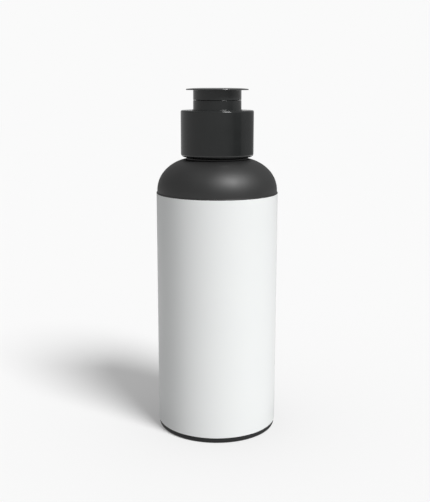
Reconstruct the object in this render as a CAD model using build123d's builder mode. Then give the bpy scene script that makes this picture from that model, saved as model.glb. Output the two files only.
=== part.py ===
from build123d import *
import math
import os

# Shampoo bottle with a screw-on push-pull closure, standing closed on its base.
# Millimetres, +Z up the bottle, origin at the centre of the base, front towards -Y.
# Every piece is turned about the Z axis, so a profile holds (radius, height) pairs.

# Bottle wall and label
label_radius = 27.5
label_thickness = 0.2
glue_gap = 0.02
heel_radius = 27.15
wall = 1.0
label_bottom = 2.53
label_top = 109.86
label_play = 0.03
label_seam_gap = 0.5
lip_height = 0.45
base_corner = 0.9
inside_corner = 2.4

# Base: a standing ring round a shallow push-up
ring_inner_radius = 21.5
push_up_radius = 19.6
push_up_edge = 1.0
push_up_height = 2.6

# Shoulder: a quarter ellipse that stops at the neck
shoulder_base = 111.19
shoulder_reach = 17.13
shoulder_rise = 14.53

# Neck finish: 28 mm, six threads per inch, one and a half turns
neck_bead_radius = 13.9
neck_bead_top = 125.95
neck_radius = 12.4
neck_bore_radius = 10.2
land_height = 143.2
land_chamfer = 0.4
thread_pitch = 25.4 / 6
thread_turns = 1.5
thread_drop = 2.5
thread_sunk = 0.3
thread_crest_width = 1.2
neck_crest_radius = 13.65
neck_root_width = 2.6

# Closure: outer shell
shell_radius = 16.35
shell_wall = 1.45
shell_bottom = 126.25
shell_top = 146.8
shell_deck = 1.2
shell_bottom_round = 1.35
shell_top_round = 0.65
shell_fit_gap = 0.05
deck_ring_radius = 11.2
deck_ring_rise = 0.35
deck_ring_round = 0.25

# Closure: threaded inner cap
cap_root_radius = 13.9
cap_crest_radius = 12.8
cap_root_width = 2.32
cap_thread_lift = 0.35
cap_bottom = 127.3
cap_deck_bottom = 144.2
snap_bead_height = 130.0
snap_bead_rise = 0.3
snap_bead_half = 0.5
lug_count = 4
lug_size = (2.4, 2.0)
lug_rise = 0.6

# Closure: fixed collar, chimney and plug
stem_radius = 10.77
collar_top = 151.15
collar_lip_radius = 9.35
collar_inner_radius = 9.7
collar_lip_height = 0.75
chimney_radius = 6.6
chimney_bore_radius = 5.4
chimney_top = 153.0
spoke_count = 3
spoke_height = 2.0
spoke_width = 1.3
post_radius = 1.6
plug_radius = 2.9
plug_height = 1.75
plug_flare = 1.0
plug_top = 156.3

# Closure: pull spout
spout_seam_gap = 0.15
lip_round = 0.2
flange_radius = 13.95
flange_bottom = 155.6
flange_top = 156.54
rim_foot = 0.2
rim_brow = 0.33
rim_turn = 81.6
dome_foot = 11.5
dome_drop = 0.08
dome_shoulder = 8.0
roof_bottom = 155.0
orifice_radius = 2.95
sleeve_radius = 9.3
sleeve_bore_radius = 8.1
sleeve_bottom = 146.0
bead_radius = 9.62
bead_height = 0.7
skirt_radius = 7.45
skirt_bore_radius = 6.63
skirt_bottom = 148.0
skirt_root = 1.0

# Liner
liner_radius = 13.4
liner_inner_radius = 8.4

# Broken edges
fine_edge = 0.15
edge = 0.25

# Sizes that follow from the ones above
panel_radius = label_radius - label_thickness - glue_gap
inner_radius = heel_radius - wall
push_up_sag = push_up_height - push_up_edge
push_up_sphere = (push_up_radius**2 + push_up_sag**2) / (2 * push_up_sag)
push_up_angle = math.degrees(math.asin(push_up_radius / push_up_sphere))
shoulder_centre = heel_radius - shoulder_reach
shoulder_end = math.degrees(math.acos((neck_bead_radius - shoulder_centre) / shoulder_reach))
inner_end = math.degrees(math.acos((neck_bore_radius - shoulder_centre) / (shoulder_reach - wall)))
thread_rise = thread_pitch * thread_turns
neck_thread_start = land_height - thread_drop - thread_rise
cap_thread_start = neck_thread_start - thread_pitch / 2 + cap_thread_lift
shell_inner_radius = shell_radius - shell_wall
shell_deck_bottom = shell_top - shell_deck
deck_ring_top = shell_top + deck_ring_rise
cap_radius = shell_inner_radius - shell_fit_gap
lug_circle = (stem_radius + cap_radius) / 2
spout_bottom = collar_top + spout_seam_gap
rim_height = flange_bottom + rim_foot


def thread_ridge(wall_radius, crest_radius, root_width, first_height):
    """One and a half right-handed turns of thread with square ends, its root sunk in the wall."""
    into_wall = thread_sunk if crest_radius < wall_radius else -thread_sunk
    with BuildPart() as ridge:
        with BuildLine() as path:
            Helix(thread_pitch, thread_rise, wall_radius, center=(0, 0, first_height))
        with BuildSketch(Plane.XZ):
            with BuildLine():
                Polyline(
                    (wall_radius + into_wall, first_height - root_width / 2),
                    (crest_radius, first_height - thread_crest_width / 2),
                    (crest_radius, first_height + thread_crest_width / 2),
                    (wall_radius + into_wall, first_height + root_width / 2),
                    close=True,
                )
            make_face()
        sweep(path=path.line, is_frenet=True)
    return ridge.part


os.makedirs("parts", exist_ok=True)

# Neck thread: each end fades out at a flat, as it does beside a mould's parting line
with BuildPart() as neck_thread:
    add(thread_ridge(neck_radius, neck_crest_radius, neck_root_width, neck_thread_start))
    flat_size = (2 * neck_crest_radius, 2 * neck_crest_radius, thread_pitch * 0.9)
    flat_distance = neck_radius + glue_gap + neck_crest_radius
    with Locations(
        (flat_distance, 0, neck_thread_start),
        (-flat_distance, 0, neck_thread_start + thread_rise),
    ):
        Box(*flat_size, mode=Mode.SUBTRACT)

# Bottle: one blow-moulded shell from the push-up base to the sealing land
with BuildPart() as bottle:
    with BuildSketch(Plane.XZ):
        with BuildLine():
            under = CenterArc(
                (0, push_up_height - push_up_sphere), push_up_sphere, 90, -push_up_angle
            )
            Polyline(under @ 1, (ring_inner_radius, 0), (heel_radius - base_corner, 0))
            heel = CenterArc((heel_radius - base_corner, base_corner), base_corner, -90, 90)
            side = Polyline(
                heel @ 1,
                (heel_radius, label_bottom - edge),
                (panel_radius, label_bottom - label_play),
                (panel_radius, label_top + label_play),
                (label_radius - edge / 2, label_top + label_play),
                (label_radius, label_top + label_play + edge / 2),
                (label_radius, label_top + lip_height - edge),
                (label_radius - fine_edge, label_top + lip_height),
                (heel_radius, label_top + lip_height + fine_edge),
                (heel_radius, shoulder_base),
            )
            shoulder = EllipticalCenterArc(
                (shoulder_centre, shoulder_base), shoulder_reach, shoulder_rise, arc_size=shoulder_end
            )
            neck = Polyline(
                shoulder @ 1,
                (neck_bead_radius, neck_bead_top - edge),
                (neck_bead_radius - edge, neck_bead_top),
                (neck_radius, neck_bead_top),
                (neck_radius, land_height - land_chamfer),
                (neck_radius - land_chamfer, land_height),
                (neck_bore_radius + edge, land_height),
                (neck_bore_radius, land_height - edge),
            )
            ceiling = EllipticalCenterArc(
                (shoulder_centre, shoulder_base),
                shoulder_reach - wall,
                shoulder_rise - wall,
                start_angle=inner_end,
                arc_size=-inner_end,
            )
            Line(neck @ 1, ceiling @ 0)
            inside_heel = CenterArc(
                (inner_radius - inside_corner, wall + inside_corner), inside_corner, 0, -90
            )
            Line(ceiling @ 1, inside_heel @ 0)
            floor = CenterArc(
                (0, push_up_height + wall - push_up_sphere),
                push_up_sphere,
                90 - push_up_angle,
                push_up_angle,
            )
            Polyline(inside_heel @ 1, (ring_inner_radius, wall), floor @ 0)
            Line(floor @ 1, under @ 0)
        make_face()
    revolve(axis=Axis.Z)
    add(neck_thread.part)
bottle.part.label = "bottle"
export_step(bottle.part, "parts/bottle.step")

# Wrap label: a thin sleeve whose two ends meet at the back
with BuildPart() as wrap_label:
    with BuildSketch(Plane.XY.offset(label_bottom)):
        Circle(label_radius)
        Circle(label_radius - label_thickness, mode=Mode.SUBTRACT)
        with Locations((0, label_radius)):
            Rectangle(label_seam_gap, 2 * wall, mode=Mode.SUBTRACT)
    extrude(amount=label_top - label_bottom)
wrap_label.part.label = "wrap_label"
export_step(wrap_label.part, "parts/wrap_label.step")

# Sealing liner: a foam ring between the neck's land and the cap's deck
with BuildPart() as sealing_liner:
    with BuildSketch(Plane.XY.offset(land_height)):
        Circle(liner_radius)
        Circle(liner_inner_radius, mode=Mode.SUBTRACT)
    extrude(amount=cap_deck_bottom - land_height)
sealing_liner.part.label = "sealing_liner"
export_step(sealing_liner.part, "parts/sealing_liner.step")

# Threaded cap: the skirt, deck, collar and chimney are one turned shape
with BuildPart() as threaded_cap:
    with BuildSketch(Plane.XZ):
        with BuildLine():
            lip = CenterArc((stem_radius - lip_round, collar_top - lip_round), lip_round, 0, 90)
            Polyline(
                lip @ 1,
                (collar_lip_radius, collar_top),
                (collar_lip_radius, collar_top - collar_lip_height),
                (collar_inner_radius, collar_top - collar_lip_height - fine_edge),
                (collar_inner_radius, shell_deck_bottom),
                (chimney_radius, shell_deck_bottom),
                (chimney_radius, chimney_top - edge),
                (chimney_radius - edge, chimney_top),
                (chimney_bore_radius, chimney_top),
                (chimney_bore_radius, cap_deck_bottom),
                (cap_root_radius, cap_deck_bottom),
                (cap_root_radius, cap_bottom + edge),
                (cap_root_radius + edge, cap_bottom),
                (cap_radius - edge, cap_bottom),
                (cap_radius, cap_bottom + edge),
                (cap_radius, snap_bead_height - snap_bead_half),
                (cap_radius + snap_bead_rise, snap_bead_height),
                (cap_radius, snap_bead_height + snap_bead_half),
                (cap_radius, shell_deck_bottom - edge),
                (cap_radius - edge, shell_deck_bottom),
                (stem_radius, shell_deck_bottom),
                lip @ 0,
            )
        make_face()
    revolve(axis=Axis.Z)
    # Its thread lies just under the neck's, which it pulls up against when the cap is tight
    add(thread_ridge(cap_root_radius, cap_crest_radius, cap_root_width, cap_thread_start))
    # Spokes across the top of the chimney hold the centre post
    with BuildSketch(Plane.XY.offset(chimney_top - spoke_height)):
        spoke_length = (chimney_bore_radius + chimney_radius) / 2
        with PolarLocations(spoke_length / 2, spoke_count, start_angle=90):
            Rectangle(spoke_length, spoke_width)
        Circle(post_radius)
    extrude(amount=spoke_height)
    # The post flares into the plug that fills the orifice
    with BuildSketch(Plane.XZ):
        with BuildLine():
            Polyline(
                (0, chimney_top - spoke_height),
                (post_radius, chimney_top - spoke_height),
                (post_radius, plug_top - plug_height - plug_flare),
                (plug_radius, plug_top - plug_height),
                (plug_radius, plug_top - edge),
                (plug_radius - edge, plug_top),
                (0, plug_top),
                close=True,
            )
        make_face()
    revolve(axis=Axis.Z)
    # Driving lugs carry the hand's turning effort from the shell to the thread
    with BuildSketch(Plane.XY.offset(shell_deck_bottom - edge)):
        with PolarLocations(lug_circle, lug_count, start_angle=45):
            Rectangle(*lug_size)
    extrude(amount=lug_rise + edge)
threaded_cap.part.label = "threaded_cap"
export_step(threaded_cap.part, "parts/threaded_cap.step")

# Cap shell: a straight glossy cup upside down over the threaded cap, with a low ring round the stem
with BuildPart() as cap_shell:
    with BuildSketch(Plane.XZ):
        with BuildLine():
            foot = CenterArc(
                (shell_radius - shell_bottom_round, shell_bottom + shell_bottom_round),
                shell_bottom_round,
                -90,
                90,
            )
            brow = CenterArc(
                (shell_radius - shell_top_round, shell_top - shell_top_round), shell_top_round, 0, 90
            )
            ring = CenterArc(
                (deck_ring_radius - deck_ring_round, deck_ring_top - deck_ring_round),
                deck_ring_round,
                0,
                90,
            )
            Line(foot @ 1, brow @ 0)
            Polyline(brow @ 1, (deck_ring_radius, shell_top), ring @ 0)
            Polyline(
                ring @ 1,
                (stem_radius + shell_fit_gap, deck_ring_top),
                (stem_radius + shell_fit_gap, shell_deck_bottom),
                (shell_inner_radius, shell_deck_bottom),
                (shell_inner_radius, snap_bead_height + snap_bead_half + shell_fit_gap),
                (shell_inner_radius + snap_bead_rise, snap_bead_height),
                (shell_inner_radius, snap_bead_height - snap_bead_half - shell_fit_gap),
                (shell_inner_radius, shell_bottom),
                foot @ 0,
            )
        make_face()
    revolve(axis=Axis.Z)
    with BuildSketch(Plane.XY.offset(shell_deck_bottom)):
        with PolarLocations(lug_circle, lug_count, start_angle=45):
            Rectangle(lug_size[0] + 2 * shell_fit_gap, lug_size[1] + 2 * shell_fit_gap)
    extrude(amount=lug_rise + shell_fit_gap, mode=Mode.SUBTRACT)
cap_shell.part.label = "cap_shell"
export_step(cap_shell.part, "parts/cap_shell.step")

# Pull spout: flanged tip, sleeve with its retaining bead, and inner seal skirt
with BuildPart() as pull_spout:
    with BuildSketch(Plane.XZ):
        with BuildLine():
            rim_under = CenterArc((flange_radius - rim_foot, rim_height), rim_foot, -90, 90)
            rim_over = CenterArc((flange_radius - rim_brow, rim_height), rim_brow, 0, rim_turn)
            dome = Bezier(
                rim_over @ 1,
                (dome_foot, flange_top - dome_drop),
                (dome_shoulder, flange_top),
                (orifice_radius + edge, flange_top),
            )
            Polyline(
                dome @ 1,
                (orifice_radius, flange_top - edge),
                (orifice_radius, roof_bottom),
                (skirt_bore_radius, roof_bottom),
                (skirt_bore_radius, skirt_bottom + edge),
                (skirt_bore_radius + edge, skirt_bottom),
                (skirt_radius, skirt_bottom),
                (skirt_radius, roof_bottom - skirt_root),
                (sleeve_bore_radius, roof_bottom - skirt_root),
                (sleeve_bore_radius, sleeve_bottom),
                (bead_radius - edge, sleeve_bottom),
                (bead_radius, sleeve_bottom + edge),
                (bead_radius, sleeve_bottom + bead_height - edge),
                (sleeve_radius, sleeve_bottom + bead_height),
                (sleeve_radius, spout_bottom),
                (stem_radius - lip_round, spout_bottom),
                (stem_radius, spout_bottom + lip_round),
                (stem_radius, flange_bottom - fine_edge),
                (stem_radius + fine_edge, flange_bottom),
                rim_under @ 0,
            )
        make_face()
    revolve(axis=Axis.Z)
pull_spout.part.label = "pull_spout"
export_step(pull_spout.part, "parts/pull_spout.step")
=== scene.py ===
import math

import bmesh
import bpy
from mathutils import Matrix, Vector


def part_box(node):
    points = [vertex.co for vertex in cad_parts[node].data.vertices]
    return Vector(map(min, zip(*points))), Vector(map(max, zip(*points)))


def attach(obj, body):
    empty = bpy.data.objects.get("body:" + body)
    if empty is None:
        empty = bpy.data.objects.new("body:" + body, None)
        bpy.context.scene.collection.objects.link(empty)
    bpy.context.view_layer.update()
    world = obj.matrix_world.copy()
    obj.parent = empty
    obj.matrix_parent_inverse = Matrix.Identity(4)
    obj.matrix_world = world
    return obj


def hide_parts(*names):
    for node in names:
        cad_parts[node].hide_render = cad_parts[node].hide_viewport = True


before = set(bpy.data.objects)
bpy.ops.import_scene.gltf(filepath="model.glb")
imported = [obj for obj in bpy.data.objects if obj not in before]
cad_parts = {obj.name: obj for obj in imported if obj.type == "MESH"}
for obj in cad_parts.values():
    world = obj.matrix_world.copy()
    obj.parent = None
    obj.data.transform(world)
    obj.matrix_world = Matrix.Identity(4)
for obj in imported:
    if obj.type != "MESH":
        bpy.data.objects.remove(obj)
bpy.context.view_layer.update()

# A millimetre in metres, a full turn in radians, and a distance too small to matter
MM = 0.001
TURN = 2 * math.pi
TINY = 1e-7

# Turned shapes: faces round the axis, steps in a rounded corner, and how far a hold point
# stands outside each end of the corner's arc, to keep the straight beside it flat when shaded
SEGMENTS = 256
CORNER_STEPS = 6
HOLD = 0.012 * MM

# Heights and radii that the CAD frame gives, in metres
label_low, label_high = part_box("wrap_label")
bottle_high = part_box("bottle")[1]
shell_low, shell_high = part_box("cap_shell")
spout_low, spout_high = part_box("pull_spout")
core_low, core_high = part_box("threaded_cap")
LABEL_RADIUS = label_high.x
LABEL_BOTTOM = label_low.z
LABEL_TOP = label_high.z
LAND_HEIGHT = bottle_high.z
SHELL_RADIUS = shell_high.x
SHELL_BOTTOM = shell_low.z
DECK_RING_TOP = shell_high.z
FLANGE_RADIUS = spout_high.x
FLANGE_TOP = spout_high.z
SLEEVE_BOTTOM = spout_low.z
CORE_BOTTOM = core_low.z
PLUG_TOP = core_high.z

# Label film, whose front end laps over its back end. The under film starts to bend inwards
# LAP_LEAD of the lap before the full turn, and each film's bend takes LAP_EASE of the lap.
FILM = 0.2 * MM
FILM_EDGE = 0.04 * MM
GLUE_GAP = 0.02 * MM
OVERLAP = 5.0 * MM
LAP_GAP = 0.012 * MM
LAP_EASE = 0.3
LAP_LEAD = 0.4
LAP_COLUMNS = 12

# Bottle's base: a standing ring round a shallow push-up
RING_INNER = 21.5 * MM
RING_ROUND = 0.5 * MM
PUSH_UP_RADIUS = 19.6 * MM
PUSH_UP_EDGE = 1.0 * MM
PUSH_UP_HEIGHT = 2.6 * MM

# Bottle's wall, with a shallow recess for the label and a low lip above it
HEEL_RADIUS = 27.15 * MM
WALL = 1.0 * MM
BASE_CORNER = 0.9 * MM
INSIDE_CORNER = 2.4 * MM
PANEL_RADIUS = LABEL_RADIUS - FILM - GLUE_GAP
LABEL_PLAY = 0.03 * MM
RECESS_SLOPE = 0.25 * MM
LIP_HEIGHT = 0.45 * MM
LIP_TOP = LABEL_TOP + LIP_HEIGHT
LIP_SLOPE = 0.1 * MM

# Shoulder: a quarter ellipse that stops at the neck
SHOULDER_BASE = 111.19 * MM
SHOULDER_REACH = 17.13 * MM
SHOULDER_RISE = 14.53 * MM

# Neck
NECK_BEAD_RADIUS = 13.9 * MM
NECK_BEAD_TOP = 125.95 * MM
NECK_RADIUS = 12.4 * MM
BORE_RADIUS = 10.2 * MM
MOUTH_END = LAND_HEIGHT - 2 * MM

# Neck thread: 28 mm, six threads per inch
PITCH = 25.4 / 6 * MM
THREAD_TURNS = 1.5
THREAD_DROP = 2.5 * MM
THREAD_START = LAND_HEIGHT - THREAD_DROP - PITCH * THREAD_TURNS
THREAD_DEPTH = 1.25 * MM
THREAD_CREST_HALF = 0.6 * MM
THREAD_ROOT_HALF = 1.15 * MM
THREAD_FADE = 0.09
THREAD_FLOOR = NECK_BEAD_TOP + 0.5 * MM
THREAD_CEILING = LAND_HEIGHT - 0.8 * MM
THREAD_STEP = 0.11 * MM

# Mould's parting lines up the shoulder, fading in above the label and ending on the neck bead
PARTING_HEIGHT = 0.03 * MM
PARTING_HALF = 0.14 * MM
PARTING_FADE = 1 * MM
PARTING_END = NECK_BEAD_RADIUS - 0.1 * MM

# Closure: outer shell
SHELL_WALL = 1.45 * MM
SHELL_INNER = SHELL_RADIUS - SHELL_WALL
SHELL_DECK = 1.2 * MM
DECK_RING_RISE = 0.35 * MM
SHELL_TOP = DECK_RING_TOP - DECK_RING_RISE
SHELL_BOTTOM_ROUND = 1.35 * MM
SHELL_TOP_ROUND = 0.65 * MM
DECK_RING_RADIUS = 11.2 * MM
DECK_RING_ROUND = 0.16 * MM
STEM_RADIUS = 10.77 * MM
STEM_GAP = 0.05 * MM
SNAP_HEIGHT = 130.0 * MM
SNAP_RISE = 0.3 * MM
SNAP_HALF = 0.5 * MM
SNAP_PLAY = 0.05 * MM

# Closure: threaded inner cap
DECK_OVER = SHELL_TOP - SHELL_DECK
DECK_UNDER = 144.2 * MM
CORE_RADIUS = SHELL_INNER - STEM_GAP
CORE_ROOT = 13.9 * MM
CORE_THREAD_DEPTH = 1.1 * MM
CORE_THREAD_LIFT = 0.35 * MM
CORE_THREAD_START = THREAD_START - PITCH / 2 + CORE_THREAD_LIFT
CORE_THREAD_FLOOR = CORE_BOTTOM + 0.6 * MM
CORE_THREAD_CEILING = DECK_UNDER - 0.3 * MM
CORE_THREAD_TOP = DECK_UNDER - 0.5 * MM
CORE_THREAD_STEP = 0.12 * MM
COLLAR_TOP = 151.15 * MM
COLLAR_LIP = 9.35 * MM
COLLAR_LIP_HEIGHT = 0.75 * MM
COLLAR_LIP_SLOPE = 0.15 * MM
COLLAR_INNER = 9.7 * MM
LIP_ROUND = 0.2 * MM
LUG_LENGTH = 2.4 * MM
LUG_WIDTH = 2 * MM
LUG_SUNK = 0.25 * MM
LUG_RISE = 0.6 * MM
LUG_ANGLES = (45, 135, 225, 315)

# Closure: chimney and plug
CHIMNEY_RADIUS = 6.6 * MM
CHIMNEY_BORE = 5.4 * MM
CHIMNEY_TOP = 153.0 * MM
SPOKE_HEIGHT = 2.0 * MM
SPOKE_WIDTH = 1.3 * MM
SPOKE_ANGLES = (90, 210, 330)
POST_RADIUS = 1.6 * MM
PLUG_RADIUS = 2.9 * MM
PLUG_HEIGHT = 1.75 * MM
PLUG_FLARE = 1 * MM
PLUG_SEGMENTS = 96
BLOCK_ROUND = 0.15 * MM

# Closure: pull spout, with its dome's curve given by a foot, a drop and a shoulder
SPOUT_SEAM = 151.3 * MM
FLANGE_BOTTOM = 155.6 * MM
FLANGE_ROOT = STEM_RADIUS + 0.5 * MM
RIM_FOOT = 0.2 * MM
RIM_BROW = 0.33 * MM
RIM_TURN = 81.6
DOME_FOOT = 11.5 * MM
DOME_DROP = 0.08 * MM
DOME_SHOULDER = 8.0 * MM
ROOF_BOTTOM = 155.0 * MM
ORIFICE_RADIUS = 2.95 * MM
ORIFICE_ROUND = 0.25 * MM
ORIFICE_EDGE = ORIFICE_RADIUS + 2 * ORIFICE_ROUND
SLEEVE_RADIUS = 9.3 * MM
SLEEVE_BORE = 8.1 * MM
BEAD_RADIUS = 9.62 * MM
BEAD_HEIGHT = 0.55 * MM
BEAD_SLOPE = 0.2 * MM
SKIRT_RADIUS = 7.45 * MM
SKIRT_BORE = 6.63 * MM
SKIRT_BOTTOM = 148.0 * MM
SKIRT_ROOT = ROOF_BOTTOM - 1 * MM


def smooth_step(t):
    """0 below 0, 1 above 1, and a soft S between."""
    t = min(max(t, 0.0), 1.0)
    return t * t * (3 - 2 * t)


def rounded_corner(before, here, after, size):
    """An arc round one corner, with a hold point on the straight just outside each end of it."""
    back = (before - here).normalized()
    on = (after - here).normalized()
    half = back.angle(on) / 2
    centre = here + (back + on).normalized() * (size / math.sin(half))
    reach = size / math.tan(half)
    first = here + back * reach - centre
    last = here + on * reach - centre
    sweep = math.atan2(first.x * last.y - first.y * last.x, first.dot(last))
    start = math.atan2(first.y, first.x)
    points = [tuple(here + back * (reach + HOLD))]
    for k in range(CORNER_STEPS + 1):
        a = start + sweep * k / CORNER_STEPS
        points.append((centre.x + size * math.cos(a), centre.y + size * math.sin(a)))
    points.append(tuple(here + on * (reach + HOLD)))
    return points


def rounded(corners, closed=False):
    """Points (radius, height) through corners (radius, height, round), each round an arc."""
    points = []
    count = len(corners)
    for i, (r, z, size) in enumerate(corners):
        if size <= 0 or (not closed and i in (0, count - 1)):
            points.append((r, z))
            continue
        before, after = Vector(corners[i - 1][:2]), Vector(corners[(i + 1) % count][:2])
        points += rounded_corner(before, Vector((r, z)), after, size)
    return points


def arc(r, z, reach, rise, first, last, steps):
    """Points on an ellipse about (r, z), from one angle to the other in degrees."""
    turns = [math.radians(first + (last - first) * k / steps) for k in range(steps + 1)]
    return [(r + reach * math.cos(a), z + rise * math.sin(a)) for a in turns]


def ladder(r, low, high, step):
    """Points along a straight wall, without its ends, close enough together to carry a thread."""
    count = max(2, round(abs(high - low) / step))
    return [(r, low + (high - low) * k / count) for k in range(1, count)]


def new_object(name, bm, sharp_angle=40):
    """Mesh object with smooth faces and sharp edges where the surface really turns."""
    bmesh.ops.recalc_face_normals(bm, faces=bm.faces)
    mesh = bpy.data.meshes.new(name)
    bm.to_mesh(mesh)
    bm.free()
    mesh.shade_smooth()
    mesh.set_sharp_from_angle(angle=math.radians(sharp_angle))
    piece = bpy.data.objects.new(name, mesh)
    bpy.context.scene.collection.objects.link(piece)
    return piece


def even_angles(count=SEGMENTS):
    """Evenly spaced angles once round the axis."""
    return [TURN * k / count for k in range(count)]


def turned_ring(bm, r, z, angles, shape):
    """One point of an outline turned into a ring, or left single where it is on the axis."""
    if r < TINY:
        return [bm.verts.new((0, 0, z))]
    ring = []
    for a in angles:
        radius = shape(a, r, z) if shape else r
        ring.append(bm.verts.new((radius * math.cos(a), radius * math.sin(a), z)))
    return ring


def lathe(name, outline, closed, angles=None, shape=None, sharp_angle=40):
    """Turns an outline about the bottle's axis. shape(angle, r, z) gives a point its own radius."""
    angles = angles or even_angles()
    bm = bmesh.new()
    rings = [turned_ring(bm, r, z, angles, shape) for r, z in outline]
    pairs = list(zip(rings, rings[1:]))
    if closed:
        pairs.append((rings[-1], rings[0]))
    for low, high in pairs:
        for k in range(len(angles)):
            n = (k + 1) % len(angles)
            if len(low) == 1 and len(high) > 1:
                bm.faces.new((low[0], high[n], high[k]))
            elif len(high) == 1 and len(low) > 1:
                bm.faces.new((low[k], low[n], high[0]))
            elif len(low) > 1:
                bm.faces.new((low[k], low[n], high[n], high[k]))
    return new_object(name, bm, sharp_angle)


# ---------------------------------------------------------------- materials


def node_material(name):
    """A new material with its nodes, links and Principled shader."""
    material = bpy.data.materials.new(name)
    material.use_nodes = True
    nodes = material.node_tree.nodes
    return material, nodes, material.node_tree.links, nodes["Principled BSDF"]


def noise(nodes, links, size, detail=2.0, roughness=0.5):
    """Noise whose blotches are about `size` metres across, fixed to the object."""
    place = nodes.new("ShaderNodeTexCoord")
    texture = nodes.new("ShaderNodeTexNoise")
    texture.inputs["Scale"].default_value = 1 / size
    texture.inputs["Detail"].default_value = detail
    texture.inputs["Roughness"].default_value = roughness
    links.new(place.outputs["Object"], texture.inputs["Vector"])
    return texture.outputs["Fac"]


def spread(nodes, links, value, low, high):
    """Maps the middle of a noise's range to low..high."""
    ranged = nodes.new("ShaderNodeMapRange")
    ranged.inputs["From Min"].default_value = 0.3
    ranged.inputs["From Max"].default_value = 0.7
    ranged.inputs["To Min"].default_value = low
    ranged.inputs["To Max"].default_value = high
    links.new(value, ranged.inputs["Value"])
    return ranged.outputs["Result"]


def blend_colours(nodes, links, value, first, second):
    """Goes from the first colour to the second as the value goes from 0 to 1."""
    mix = nodes.new("ShaderNodeMix")
    mix.data_type = "RGBA"
    mix.inputs["A"].default_value = (*first, 1)
    mix.inputs["B"].default_value = (*second, 1)
    links.new(value, mix.inputs["Factor"])
    return mix.outputs["Result"]


def bumps(nodes, links, layers):
    """Chains bump layers, each (height, depth in metres); the last one feeds the shader."""
    normal = None
    for value, depth in layers:
        bump = nodes.new("ShaderNodeBump")
        bump.inputs["Strength"].default_value = 1.0
        bump.inputs["Distance"].default_value = depth
        links.new(value, bump.inputs["Height"])
        if normal is not None:
            links.new(normal, bump.inputs["Normal"])
        normal = bump.outputs["Normal"]
    return normal


def matte_black_plastic():
    """Blow-moulded polyethylene: sandblasted-mould grain, faint waviness and faint mottling."""
    material, nodes, links, shader = node_material("matte_black_plastic")
    grain = noise(nodes, links, 0.35 * MM, detail=3)
    cloud = noise(nodes, links, 9 * MM, detail=2)
    wave = noise(nodes, links, 14 * MM, detail=1)
    colour = blend_colours(nodes, links, cloud, (0.0095, 0.0097, 0.0097), (0.0135, 0.0137, 0.0137))
    links.new(colour, shader.inputs["Base Color"])
    links.new(spread(nodes, links, cloud, 0.5, 0.56), shader.inputs["Roughness"])
    shader.inputs["IOR"].default_value = 1.62
    layers = [(grain, 0.006 * MM), (wave, 0.05 * MM)]
    links.new(bumps(nodes, links, layers), shader.inputs["Normal"])
    return material


def gloss_black_plastic(name, painted_light_scale=1.0):
    """Injection-moulded plastic: polished, with faint flow waviness and fine handling marks. A
    scale above 1 makes the black lighter, which is painted light for a piece that sits in shade.
    """
    material, nodes, links, shader = node_material(name)
    haze = noise(nodes, links, 5 * MM, detail=4)
    wave = noise(nodes, links, 12 * MM, detail=1)
    fine = noise(nodes, links, 0.12 * MM, detail=2)
    # Scaling the black above 1 paints light into it
    dark = tuple(c * painted_light_scale for c in (0.0178, 0.0191, 0.019))
    light = tuple(c * painted_light_scale for c in (0.0208, 0.0221, 0.022))
    links.new(blend_colours(nodes, links, haze, dark, light), shader.inputs["Base Color"])
    links.new(spread(nodes, links, haze, 0.1, 0.16), shader.inputs["Roughness"])
    shader.inputs["IOR"].default_value = 1.49
    layers = [(fine, 0.0004 * MM), (wave, 0.012 * MM)]
    links.new(bumps(nodes, links, layers), shader.inputs["Normal"])
    return material


def white_label_film():
    """Coated white film: satin, with a trace of fibre grain and of waviness from the applicator."""
    material, nodes, links, shader = node_material("white_label_film")
    fibre = noise(nodes, links, 0.25 * MM, detail=4, roughness=0.6)
    cloud = noise(nodes, links, 20 * MM, detail=2)
    colour = blend_colours(nodes, links, cloud, (0.878, 0.894, 0.893), (0.898, 0.914, 0.908))
    links.new(colour, shader.inputs["Base Color"])
    links.new(spread(nodes, links, fibre, 0.4, 0.5), shader.inputs["Roughness"])
    shader.inputs["IOR"].default_value = 1.45
    layers = [(fibre, 0.003 * MM), (cloud, 0.04 * MM)]
    links.new(bumps(nodes, links, layers), shader.inputs["Normal"])
    return material


def liner_foam():
    """Closed-cell foam: soft white with small cells."""
    material, nodes, links, shader = node_material("liner_foam")
    cells = noise(nodes, links, 0.3 * MM, detail=3)
    colour = blend_colours(nodes, links, cells, (0.74, 0.74, 0.72), (0.85, 0.85, 0.83))
    links.new(colour, shader.inputs["Base Color"])
    shader.inputs["Roughness"].default_value = 0.85
    links.new(bumps(nodes, links, [(cells, 0.05 * MM)]), shader.inputs["Normal"])
    return material


def paint(piece, material):
    """Gives the piece this one material."""
    piece.data.materials.clear()
    piece.data.materials.append(material)


# ---------------------------------------------------------------- bottle


def bottle_angles():
    """Even angles, with extra ones across the two parting lines at the sides."""
    fine = [PARTING_HALF * k / 2 / HEEL_RADIUS for k in range(-2, 3)]
    spacing = TURN / SEGMENTS
    angles = [a for a in even_angles() if min(a % math.pi, math.pi - a % math.pi) > spacing / 2]
    angles += [(side + d) % TURN for side in (0, math.pi) for d in fine]
    return sorted(angles)


def thread_share(angle, z, start):
    """How much of the thread's depth stands here, from 0 on the wall to 1 on the crest."""
    best = 0.0
    for turn in range(math.ceil(THREAD_TURNS)):
        turned = angle / TURN + turn
        if not 0 <= turned <= THREAD_TURNS:
            continue
        off = abs(z - start - PITCH * turned)
        rise = smooth_step((THREAD_ROOT_HALF - off) / (THREAD_ROOT_HALF - THREAD_CREST_HALF))
        from_end = min(turned, THREAD_TURNS - turned)
        best = max(best, rise * smooth_step(from_end / THREAD_FADE))
    return best


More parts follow.
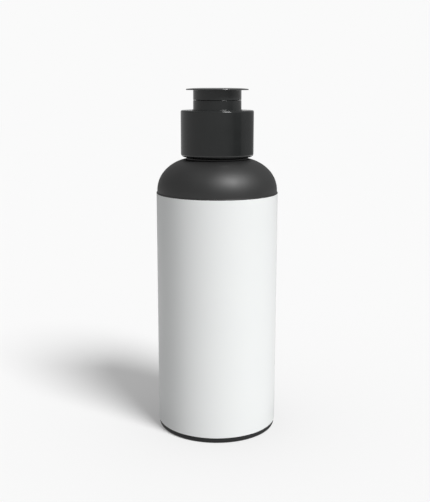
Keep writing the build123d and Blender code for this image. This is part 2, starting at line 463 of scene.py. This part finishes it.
def bottle_shape(angle, r, z):
    """Adds the thread and the fine parting lines to the turned bottle."""
    if abs(r - NECK_RADIUS) < TINY and NECK_BEAD_TOP < z < THREAD_CEILING:
        return r + THREAD_DEPTH * thread_share(angle, z, THREAD_START)
    if SHOULDER_BASE <= z < NECK_BEAD_TOP and r > PARTING_END:
        side = min(angle % math.pi, math.pi - angle % math.pi) * r
        swell = max(0.0, 1 - side / PARTING_HALF) * PARTING_HEIGHT
        return r + swell * smooth_step((LABEL_RADIUS - r) / PARTING_FADE)
    return r


def shoulder_arc(inset, r_stop):
    """The shoulder's curve, moved inwards by the inset, from its foot up to radius r_stop."""
    centre = HEEL_RADIUS - SHOULDER_REACH
    reach = SHOULDER_REACH - inset
    end = math.degrees(math.acos((r_stop - centre) / reach))
    return arc(centre, SHOULDER_BASE, reach, SHOULDER_RISE - inset, 0, end, 36)


def push_up(lift, steps=14):
    """The dished middle of the base, from its centre outwards."""
    sag = PUSH_UP_HEIGHT - PUSH_UP_EDGE
    sphere = (PUSH_UP_RADIUS**2 + sag**2) / (2 * sag)
    middle = PUSH_UP_HEIGHT - sphere + lift
    rs = [PUSH_UP_RADIUS * k / steps for k in range(steps + 1)]
    return [(r, middle + math.sqrt(sphere**2 - r**2)) for r in rs]


def bottle_side():
    """From the push-up's edge round the standing ring and up past the label to the shoulder."""
    return rounded(
        [
            (PUSH_UP_RADIUS, PUSH_UP_EDGE, 0),
            (RING_INNER, 0, RING_ROUND),
            (HEEL_RADIUS, 0, BASE_CORNER),
            (HEEL_RADIUS, LABEL_BOTTOM - RECESS_SLOPE, 0.1 * MM),
            (PANEL_RADIUS, LABEL_BOTTOM - LABEL_PLAY, 0.05 * MM),
            (PANEL_RADIUS, LABEL_TOP + LABEL_PLAY, 0.03 * MM),
            (LABEL_RADIUS, LABEL_TOP + LABEL_PLAY, 0.14 * MM),
            (LABEL_RADIUS, LIP_TOP, 0.22 * MM),
            (HEEL_RADIUS, LIP_TOP + LIP_SLOPE, 0.12 * MM),
            (HEEL_RADIUS, SHOULDER_BASE, 0),
        ]
    )


def bottle_neck(foot):
    """From the shoulder's end, at height foot, over the bead and the thread to the mouth."""
    bead = rounded(
        [
            (NECK_BEAD_RADIUS, foot, 0),
            (NECK_BEAD_RADIUS, NECK_BEAD_TOP, 0.22 * MM),
            (NECK_RADIUS, NECK_BEAD_TOP, 0.15 * MM),
            (NECK_RADIUS, THREAD_FLOOR, 0),
        ]
    )
    mouth = rounded(
        [
            (NECK_RADIUS, THREAD_CEILING, 0),
            (NECK_RADIUS, LAND_HEIGHT, 0.4 * MM),
            (BORE_RADIUS, LAND_HEIGHT, 0.3 * MM),
            (BORE_RADIUS, MOUTH_END, 0),
        ]
    )
    return bead + ladder(NECK_RADIUS, THREAD_FLOOR, THREAD_CEILING, THREAD_STEP) + mouth


def bottle_inside():
    """From the inside of the shoulder's foot down to the edge of the push-up."""
    return rounded(
        [
            (HEEL_RADIUS - WALL, SHOULDER_BASE, 0),
            (HEEL_RADIUS - WALL, WALL, INSIDE_CORNER),
            (RING_INNER, WALL, 0),
            (PUSH_UP_RADIUS, PUSH_UP_EDGE + WALL, 0),
        ]
    )


def make_bottle():
    """One blow-moulded wall, from the middle of the base up and back down its inside."""
    shoulder = shoulder_arc(0, NECK_BEAD_RADIUS)
    ceiling = shoulder_arc(WALL, BORE_RADIUS)[::-1]
    outline = push_up(0)[:-1] + bottle_side()[:-1] + shoulder[:-1] + bottle_neck(shoulder[-1][1])
    outline += ceiling[:-1] + bottle_inside()[:-1] + push_up(WALL)[::-1]
    piece = lathe("bottle_wall", outline, False, bottle_angles(), bottle_shape, sharp_angle=50)
    paint(piece, matte_black_plastic())
    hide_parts("bottle")
    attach(piece, "bottle")


# ---------------------------------------------------------------- label


def label_columns():
    """Angle, inner radius and outer radius once round from the back, and on over the lap."""
    seam = math.pi / 2
    overlap = OVERLAP / LABEL_RADIUS
    count = SEGMENTS + LAP_COLUMNS
    lap_depth = FILM / 2 + LAP_GAP
    columns = []
    for k in range(count + 1):
        s = (TURN + overlap) * k / count
        under = smooth_step((s - (TURN - LAP_LEAD * overlap)) / (LAP_EASE * overlap))
        over = 1 - smooth_step((s - overlap) / (LAP_EASE * overlap))
        outer = LABEL_RADIUS - lap_depth * under
        inner = LABEL_RADIUS - FILM + lap_depth * over
        columns.append((seam + s, inner, outer))
    return columns


def make_label():
    """A wrapped film whose front end lies over its back end at the back of the bottle."""
    bm = bmesh.new()
    height = LABEL_TOP - LABEL_BOTTOM
    rows = [(LABEL_BOTTOM, FILM_EDGE), (LABEL_BOTTOM + FILM_EDGE, 0)]
    rows += [(LABEL_BOTTOM + height * k / 4, 0) for k in (1, 2, 3)]
    rows += [(LABEL_TOP - FILM_EDGE, 0), (LABEL_TOP, FILM_EDGE)]
    grid = []
    for a, inner, outer in label_columns():
        loop = [(outer - inset, z) for z, inset in rows] + [(inner, z) for z, _ in rows[::-1]]
        grid.append([bm.verts.new((r * math.cos(a), r * math.sin(a), z)) for r, z in loop])
    size = len(grid[0])
    for left, right in zip(grid, grid[1:]):
        for j in range(size):
            n = (j + 1) % size
            bm.faces.new((left[j], right[j], right[n], left[n]))
    bm.faces.new(grid[0])
    bm.faces.new(grid[-1][::-1])
    piece = new_object("label_film", bm, sharp_angle=35)
    paint(piece, white_label_film())
    # The white film throws no light on the floor, so the bottle's shadow stays even
    piece.visible_diffuse = False
    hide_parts("wrap_label")
    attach(piece, "bottle")


# ---------------------------------------------------------------- closure


def core_shape(angle, r, z):
    """Raises the cap's own thread on its bare inner wall."""
    if abs(r - CORE_ROOT) < TINY and z < CORE_THREAD_TOP:
        return r - CORE_THREAD_DEPTH * thread_share(angle, z, CORE_THREAD_START)
    return r


def core_body():
    """The threaded cap's skirt, deck, collar and chimney."""
    outline = rounded(
        [
            (CORE_ROOT, CORE_THREAD_CEILING, 0),
            (CORE_ROOT, DECK_UNDER, 0.2 * MM),
            (CHIMNEY_BORE, DECK_UNDER, 0.2 * MM),
            (CHIMNEY_BORE, CHIMNEY_TOP, 0.2 * MM),
            (CHIMNEY_RADIUS, CHIMNEY_TOP, 0.25 * MM),
            (CHIMNEY_RADIUS, DECK_OVER, 0.3 * MM),
            (COLLAR_INNER, DECK_OVER, 0.3 * MM),
            (COLLAR_INNER, COLLAR_TOP - COLLAR_LIP_HEIGHT - COLLAR_LIP_SLOPE, 0),
            (COLLAR_LIP, COLLAR_TOP - COLLAR_LIP_HEIGHT, 0.1 * MM),
            (COLLAR_LIP, COLLAR_TOP, 0.15 * MM),
            (STEM_RADIUS, COLLAR_TOP, LIP_ROUND),
            (STEM_RADIUS, DECK_OVER, 0),
            (CORE_RADIUS, DECK_OVER, 0.25 * MM),
            (CORE_RADIUS, SNAP_HEIGHT + SNAP_HALF, 0),
            (CORE_RADIUS + SNAP_RISE, SNAP_HEIGHT, 0.1 * MM),
            (CORE_RADIUS, SNAP_HEIGHT - SNAP_HALF, 0),
            (CORE_RADIUS, CORE_BOTTOM, 0.25 * MM),
            (CORE_ROOT, CORE_BOTTOM, 0.25 * MM),
            (CORE_ROOT, CORE_THREAD_FLOOR, 0),
        ]
    )
    thread_wall = ladder(CORE_ROOT, CORE_THREAD_FLOOR, CORE_THREAD_CEILING, CORE_THREAD_STEP)
    return lathe("core_body", outline + thread_wall, True, shape=core_shape)


def core_plug():
    """The centre post and the head that fills the orifice."""
    outline = rounded(
        [
            (0, CHIMNEY_TOP - SPOKE_HEIGHT, 0),
            (POST_RADIUS, CHIMNEY_TOP - SPOKE_HEIGHT, 0.2 * MM),
            (POST_RADIUS, PLUG_TOP - PLUG_HEIGHT - PLUG_FLARE, 0.3 * MM),
            (PLUG_RADIUS, PLUG_TOP - PLUG_HEIGHT, 0.2 * MM),
            (PLUG_RADIUS, PLUG_TOP, 0.25 * MM),
            (0, PLUG_TOP, 0),
        ]
    )
    return lathe("core_plug", outline, False, even_angles(PLUG_SEGMENTS))


def soft_block(name, low, high, angle):
    """A block with broken edges, turned about the bottle's axis by an angle in degrees."""
    bm = bmesh.new()
    bmesh.ops.create_cube(bm, size=1)
    size = Vector(high) - Vector(low)
    middle = (Vector(high) + Vector(low)) / 2
    turn = Matrix.Rotation(math.radians(angle), 4, "Z")
    bm.transform(turn @ Matrix.Translation(middle) @ Matrix.Diagonal((*size, 1)))
    edges = list(bm.edges)
    bmesh.ops.bevel(bm, geom=edges, offset=BLOCK_ROUND, segments=2, profile=0.5, affect="EDGES")
    return new_object(name, bm)


def joined(name, pieces):
    """One object with the meshes of all the pieces, each still a closed shell."""
    bm = bmesh.new()
    for piece in pieces:
        bm.from_mesh(piece.data)
        bpy.data.objects.remove(piece)
    return new_object(name, bm)


def make_core():
    """The threaded cap: its turned body, the spokes with the plug, and the driving lugs."""
    pieces = [core_body(), core_plug()]
    spoke_end = (CHIMNEY_BORE + CHIMNEY_RADIUS) / 2
    for angle in SPOKE_ANGLES:
        low = (0, -SPOKE_WIDTH / 2, CHIMNEY_TOP - SPOKE_HEIGHT)
        high = (spoke_end, SPOKE_WIDTH / 2, CHIMNEY_TOP)
        pieces.append(soft_block("spoke", low, high, angle))
    lug_middle = (STEM_RADIUS + CORE_RADIUS) / 2
    for angle in LUG_ANGLES:
        low = (lug_middle - LUG_LENGTH / 2, -LUG_WIDTH / 2, DECK_OVER - LUG_SUNK)
        high = (lug_middle + LUG_LENGTH / 2, LUG_WIDTH / 2, DECK_OVER + LUG_RISE)
        pieces.append(soft_block("lug", low, high, angle))
    piece = joined("cap_core", pieces)
    paint(piece, gloss_black_plastic("gloss_black_cap"))
    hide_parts("threaded_cap")
    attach(piece, "cap")


def make_shell():
    """A straight cup upside down over the threaded cap, with a low ring round the stem."""
    outline = rounded(
        [
            (SHELL_RADIUS, SHELL_BOTTOM, SHELL_BOTTOM_ROUND),
            (SHELL_RADIUS, SHELL_TOP, SHELL_TOP_ROUND),
            (DECK_RING_RADIUS, SHELL_TOP, 0.05 * MM),
            (DECK_RING_RADIUS, DECK_RING_TOP, DECK_RING_ROUND),
            (STEM_RADIUS + STEM_GAP, DECK_RING_TOP, 0.05 * MM),
            (STEM_RADIUS + STEM_GAP, DECK_OVER, 0),
            (SHELL_INNER, DECK_OVER, 0),
            (SHELL_INNER, SNAP_HEIGHT + SNAP_HALF + SNAP_PLAY, 0),
            (SHELL_INNER + SNAP_RISE, SNAP_HEIGHT, 0),
            (SHELL_INNER, SNAP_HEIGHT - SNAP_HALF - SNAP_PLAY, 0),
            (SHELL_INNER, SHELL_BOTTOM, 0.03 * MM),
        ],
        closed=True,
    )
    piece = lathe("shell_cup", outline, True)
    paint(piece, gloss_black_plastic("gloss_black_shell"))
    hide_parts("cap_shell")
    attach(piece, "cap")


def bezier(points, steps):
    """Points on the cubic curve that four control points give."""
    curve = []
    for k in range(steps + 1):
        t = k / steps
        shares = ((1 - t) ** 3, 3 * (1 - t) ** 2 * t, 3 * (1 - t) * t**2, t**3)
        curve.append(tuple(sum(s * p[i] for s, p in zip(shares, points)) for i in (0, 1)))
    return curve


def flange_face():
    """The flange from its underside round the thin rim and over the domed top to the orifice."""
    foot_height = FLANGE_BOTTOM + RIM_FOOT
    under = arc(FLANGE_RADIUS - RIM_FOOT, foot_height, RIM_FOOT, RIM_FOOT, -90, 0, 6)
    over = arc(FLANGE_RADIUS - RIM_BROW, foot_height, RIM_BROW, RIM_BROW, 0, RIM_TURN, 10)
    dome = bezier(
        [
            over[-1],
            (DOME_FOOT, FLANGE_TOP - DOME_DROP),
            (DOME_SHOULDER, FLANGE_TOP),
            (ORIFICE_EDGE, FLANGE_TOP),
        ],
        16,
    )
    return under + over[1:] + dome[1:-1]


def spout_body():
    """From the orifice down the seal skirt and back up outside the sleeve to the flange."""
    return rounded(
        [
            (ORIFICE_EDGE, FLANGE_TOP, 0),
            (ORIFICE_RADIUS, FLANGE_TOP, ORIFICE_ROUND),
            (ORIFICE_RADIUS, ROOF_BOTTOM, 0.1 * MM),
            (SKIRT_BORE, ROOF_BOTTOM, 0),
            (SKIRT_BORE, SKIRT_BOTTOM, 0.2 * MM),
            (SKIRT_RADIUS, SKIRT_BOTTOM, 0.15 * MM),
            (SKIRT_RADIUS, SKIRT_ROOT, 0),
            (SLEEVE_BORE, SKIRT_ROOT, 0),
            (SLEEVE_BORE, SLEEVE_BOTTOM, 0.15 * MM),
            (BEAD_RADIUS, SLEEVE_BOTTOM, 0.25 * MM),
            (BEAD_RADIUS, SLEEVE_BOTTOM + BEAD_HEIGHT, 0.15 * MM),
            (SLEEVE_RADIUS, SLEEVE_BOTTOM + BEAD_HEIGHT + BEAD_SLOPE, 0.1 * MM),
            (SLEEVE_RADIUS, SPOUT_SEAM, 0.1 * MM),
            (STEM_RADIUS, SPOUT_SEAM, LIP_ROUND),
            (STEM_RADIUS, FLANGE_BOTTOM, 0.2 * MM),
            (FLANGE_ROOT, FLANGE_BOTTOM, 0),
        ]
    )


def make_spout():
    """The part that the fingers pull: flange, stem, sleeve and seal skirt in one."""
    piece = lathe("spout_tip", flange_face() + spout_body()[1:], True)
    # The spout's black is painted 1.8 times lighter: painted light for the stem in the shade under
    # the flange
    paint(piece, gloss_black_plastic("gloss_black_spout_painted_light", 1.8))
    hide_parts("pull_spout")
    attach(piece, "spout")


# ---------------------------------------------------------------- stage

# Floor: a small patch under the bottle, the table round it and a far sweep, as half widths
PATCH_HALF = 0.045
TABLE_HALF = 0.5
SWEEP_HALF = 100.0
FLOOR_GREY = 0.655
FLOOR_GLOW = 0.21

# Backdrop's white, and where the floor starts and ends fading into it
BACKDROP = 0.956
FADE_START = 0.5
FADE_END = 3.0

# Studio light from all sides. A band has its middle height, its half height at full strength
# and the half height where it ends, as sines of the angle above the horizon.
SKY_LIGHT = 0.34
HORIZON_LIGHT = 0.58
HORIZON_BAND = (0.01, 0.018, 0.038)
RING_BAND = (-0.06, 0.045, 0.1)

# Light in the low ring round the table, brighter at the left and with a dark stand on the
# right: degrees right of the front, and brightness
STUDIO_RING = (
    (-180, 0.36),
    (-130, 0.5),
    (-95, 0.58),
    (-70, 0.53),
    (-45, 0.46),
    (0, 0.4),
    (30, 0.34),
    (48, 0.17),
    (56, 0.01),
    (79, 0.01),
    (81, 0.22),
    (102, 0.3),
    (140, 0.2),
    (180, 0.36),
)

# Key light: degrees right of the front, degrees up, degrees across, and power
KEY_AZIMUTH = 40
KEY_ELEVATION = 50
KEY_WIDTH = 22.5
KEY_POWER = 3.28

# Camera: as high as the closure's top, in metres, and looking down at the bottle, in degrees
CAMERA_LENS = 57.87
CAMERA_PLACE = (0, -0.3652, 0.15693)
CAMERA_TILT = -11.49
CAMERA_ROLL = -0.07
CAMERA_TURN = 0.161


def floor_paper():
    """Pale lit paper that fades into the backdrop's white far from the bottle."""
    material, nodes, links, shader = node_material("floor_paper")
    shader.inputs["Base Color"].default_value = (FLOOR_GREY, FLOOR_GREY, FLOOR_GREY, 1)
    shader.inputs["Roughness"].default_value = 1.0
    shader.inputs["Specular IOR Level"].default_value = 0.0
    shader.inputs["Emission Color"].default_value = (1, 1, 1, 1)
    shader.inputs["Emission Strength"].default_value = FLOOR_GLOW
    far = nodes.new("ShaderNodeEmission")
    far.inputs["Color"].default_value = (BACKDROP, BACKDROP, BACKDROP, 1)
    place = nodes.new("ShaderNodeTexCoord")
    length = nodes.new("ShaderNodeVectorMath")
    length.operation = "LENGTH"
    links.new(place.outputs["Object"], length.inputs[0])
    fade = nodes.new("ShaderNodeMapRange")
    fade.interpolation_type = "SMOOTHSTEP"
    fade.inputs["From Min"].default_value = FADE_START
    fade.inputs["From Max"].default_value = FADE_END
    links.new(length.outputs["Value"], fade.inputs["Value"])
    mix = nodes.new("ShaderNodeMixShader")
    links.new(fade.outputs["Result"], mix.inputs["Fac"])
    links.new(shader.outputs["BSDF"], mix.inputs[1])
    links.new(far.outputs["Emission"], mix.inputs[2])
    links.new(mix.outputs["Shader"], nodes["Material Output"].inputs["Surface"])
    return material


def square(bm, half):
    """The corners of a level square about the origin."""
    corners = ((-half, -half, 0), (half, -half, 0), (half, half, 0), (-half, half, 0))
    return [bm.verts.new(c) for c in corners]


def floor_ring(name, inner_half, outer_half):
    """A level square with a square hole, or a whole one if the inner half is 0."""
    bm = bmesh.new()
    outer = square(bm, outer_half)
    if inner_half == 0:
        bm.faces.new(outer)
        return new_object(name, bm)
    inner = square(bm, inner_half)
    for k in range(4):
        n = (k + 1) % 4
        bm.faces.new((inner[k], outer[k], outer[n], inner[n]))
    return new_object(name, bm)


def make_floor():
    """One paper in three pieces, of which only the table shows in the bottle's sides."""
    paper = floor_paper()
    patch = floor_ring("patch", 0, PATCH_HALF)
    table = floor_ring("table", PATCH_HALF, TABLE_HALF)
    sweep = floor_ring("sweep", TABLE_HALF, SWEEP_HALF)
    for floor in (patch, table, sweep):
        paint(floor, paper)
        floor.visible_glossy = floor == table
        # The studio's even light stands in for what the floor would throw on the bottle
        floor.visible_diffuse = False


def height_share(nodes, links, height, middle, half, end):
    """1 where the height is within half of the middle, and 0 beyond end."""
    offset = nodes.new("ShaderNodeMath")
    offset.operation = "SUBTRACT"
    offset.inputs[1].default_value = middle
    links.new(height, offset.inputs[0])
    distance = nodes.new("ShaderNodeMath")
    distance.operation = "ABSOLUTE"
    links.new(offset.outputs["Value"], distance.inputs[0])
    share = nodes.new("ShaderNodeMapRange")
    share.interpolation_type = "SMOOTHSTEP"
    share.inputs["From Min"].default_value = end
    share.inputs["From Max"].default_value = half
    links.new(distance.outputs["Value"], share.inputs["Value"])
    return share.outputs["Result"]


def mix_light(nodes, links, share, first, second):
    """Blends two lights, each a number or an output, by the share of the second."""
    mix = nodes.new("ShaderNodeMix")
    mix.data_type = "RGBA"
    for name, light in (("A", first), ("B", second)):
        if isinstance(light, float):
            mix.inputs[name].default_value = (light, light, light, 1)
        else:
            links.new(light, mix.inputs[name])
    links.new(share, mix.inputs["Factor"])
    return mix.outputs["Result"]


def studio_light(nodes, links):
    """Even light, but for the low ring that the glossy closure shows, and its lighter horizon."""
    place = nodes.new("ShaderNodeTexCoord")
    parts = nodes.new("ShaderNodeSeparateXYZ")
    links.new(place.outputs["Generated"], parts.inputs["Vector"])
    front = nodes.new("ShaderNodeMath")
    front.operation = "MULTIPLY"
    front.inputs[1].default_value = -1
    links.new(parts.outputs["Y"], front.inputs[0])
    azimuth = nodes.new("ShaderNodeMath")
    azimuth.operation = "ARCTAN2"
    links.new(parts.outputs["X"], azimuth.inputs[0])
    links.new(front.outputs["Value"], azimuth.inputs[1])
    turned = nodes.new("ShaderNodeMapRange")
    turned.inputs["From Min"].default_value = -math.pi
    turned.inputs["From Max"].default_value = math.pi
    links.new(azimuth.outputs["Value"], turned.inputs["Value"])
    ring = nodes.new("ShaderNodeValToRGB")
    stops = ring.color_ramp.elements
    stops[1].position = 1
    for degrees, _ in STUDIO_RING[1:-1]:
        stops.new(degrees / 360 + 0.5)
    for stop, (_, light) in zip(stops, STUDIO_RING):
        stop.color = (light, light, light, 1)
    links.new(turned.outputs["Result"], ring.inputs["Fac"])
    low = height_share(nodes, links, parts.outputs["Z"], *RING_BAND)
    level = height_share(nodes, links, parts.outputs["Z"], *HORIZON_BAND)
    light = mix_light(nodes, links, low, SKY_LIGHT, ring.outputs["Color"])
    return mix_light(nodes, links, level, light, HORIZON_LIGHT)


def make_world():
    """Even soft studio light all round, with the plain pale backdrop where the camera sees it."""
    world = bpy.data.worlds.new("studio")
    bpy.context.scene.world = world
    world.use_nodes = True
    nodes, links = world.node_tree.nodes, world.node_tree.links
    light = nodes["Background"]
    links.new(studio_light(nodes, links), light.inputs["Color"])
    backdrop = nodes.new("ShaderNodeBackground")
    backdrop.inputs["Color"].default_value = (BACKDROP, BACKDROP, BACKDROP, 1)
    path = nodes.new("ShaderNodeLightPath")
    mix = nodes.new("ShaderNodeMixShader")
    links.new(path.outputs["Is Camera Ray"], mix.inputs["Fac"])
    links.new(light.outputs["Background"], mix.inputs[1])
    links.new(backdrop.outputs["Background"], mix.inputs[2])
    links.new(mix.outputs["Shader"], nodes["World Output"].inputs["Surface"])


def make_key_light():
    """One soft sun, which makes the bottle's shadow and the highlight on its shoulder."""
    data = bpy.data.lights.new("key", "SUN")
    data.energy = KEY_POWER
    data.angle = math.radians(KEY_WIDTH)
    sun = bpy.data.objects.new("key", data)
    turn, lift = math.radians(KEY_AZIMUTH), math.radians(KEY_ELEVATION)
    towards = Vector(
        (math.sin(turn) * math.cos(lift), -math.cos(turn) * math.cos(lift), math.sin(lift))
    )
    sun.rotation_euler = towards.to_track_quat("Z", "Y").to_euler()
    bpy.context.scene.collection.objects.link(sun)


def make_camera():
    """The camera, whose clip distances take in the bottle and the whole sweep."""
    data = bpy.data.cameras.new("camera")
    data.lens = CAMERA_LENS
    data.clip_start = 0.01
    data.clip_end = 5 * SWEEP_HALF
    camera = bpy.data.objects.new("camera", data)
    camera.location = CAMERA_PLACE
    angles = (90 + CAMERA_TILT, CAMERA_ROLL, CAMERA_TURN)
    camera.rotation_euler = [math.radians(a) for a in angles]
    bpy.context.scene.collection.objects.link(camera)
    bpy.context.scene.camera = camera


make_camera()
make_world()
make_floor()
make_key_light()
make_bottle()
make_label()
make_core()
make_shell()
make_spout()
paint(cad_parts["sealing_liner"], liner_foam())

bpy.context.scene.view_settings.view_transform = "Standard"
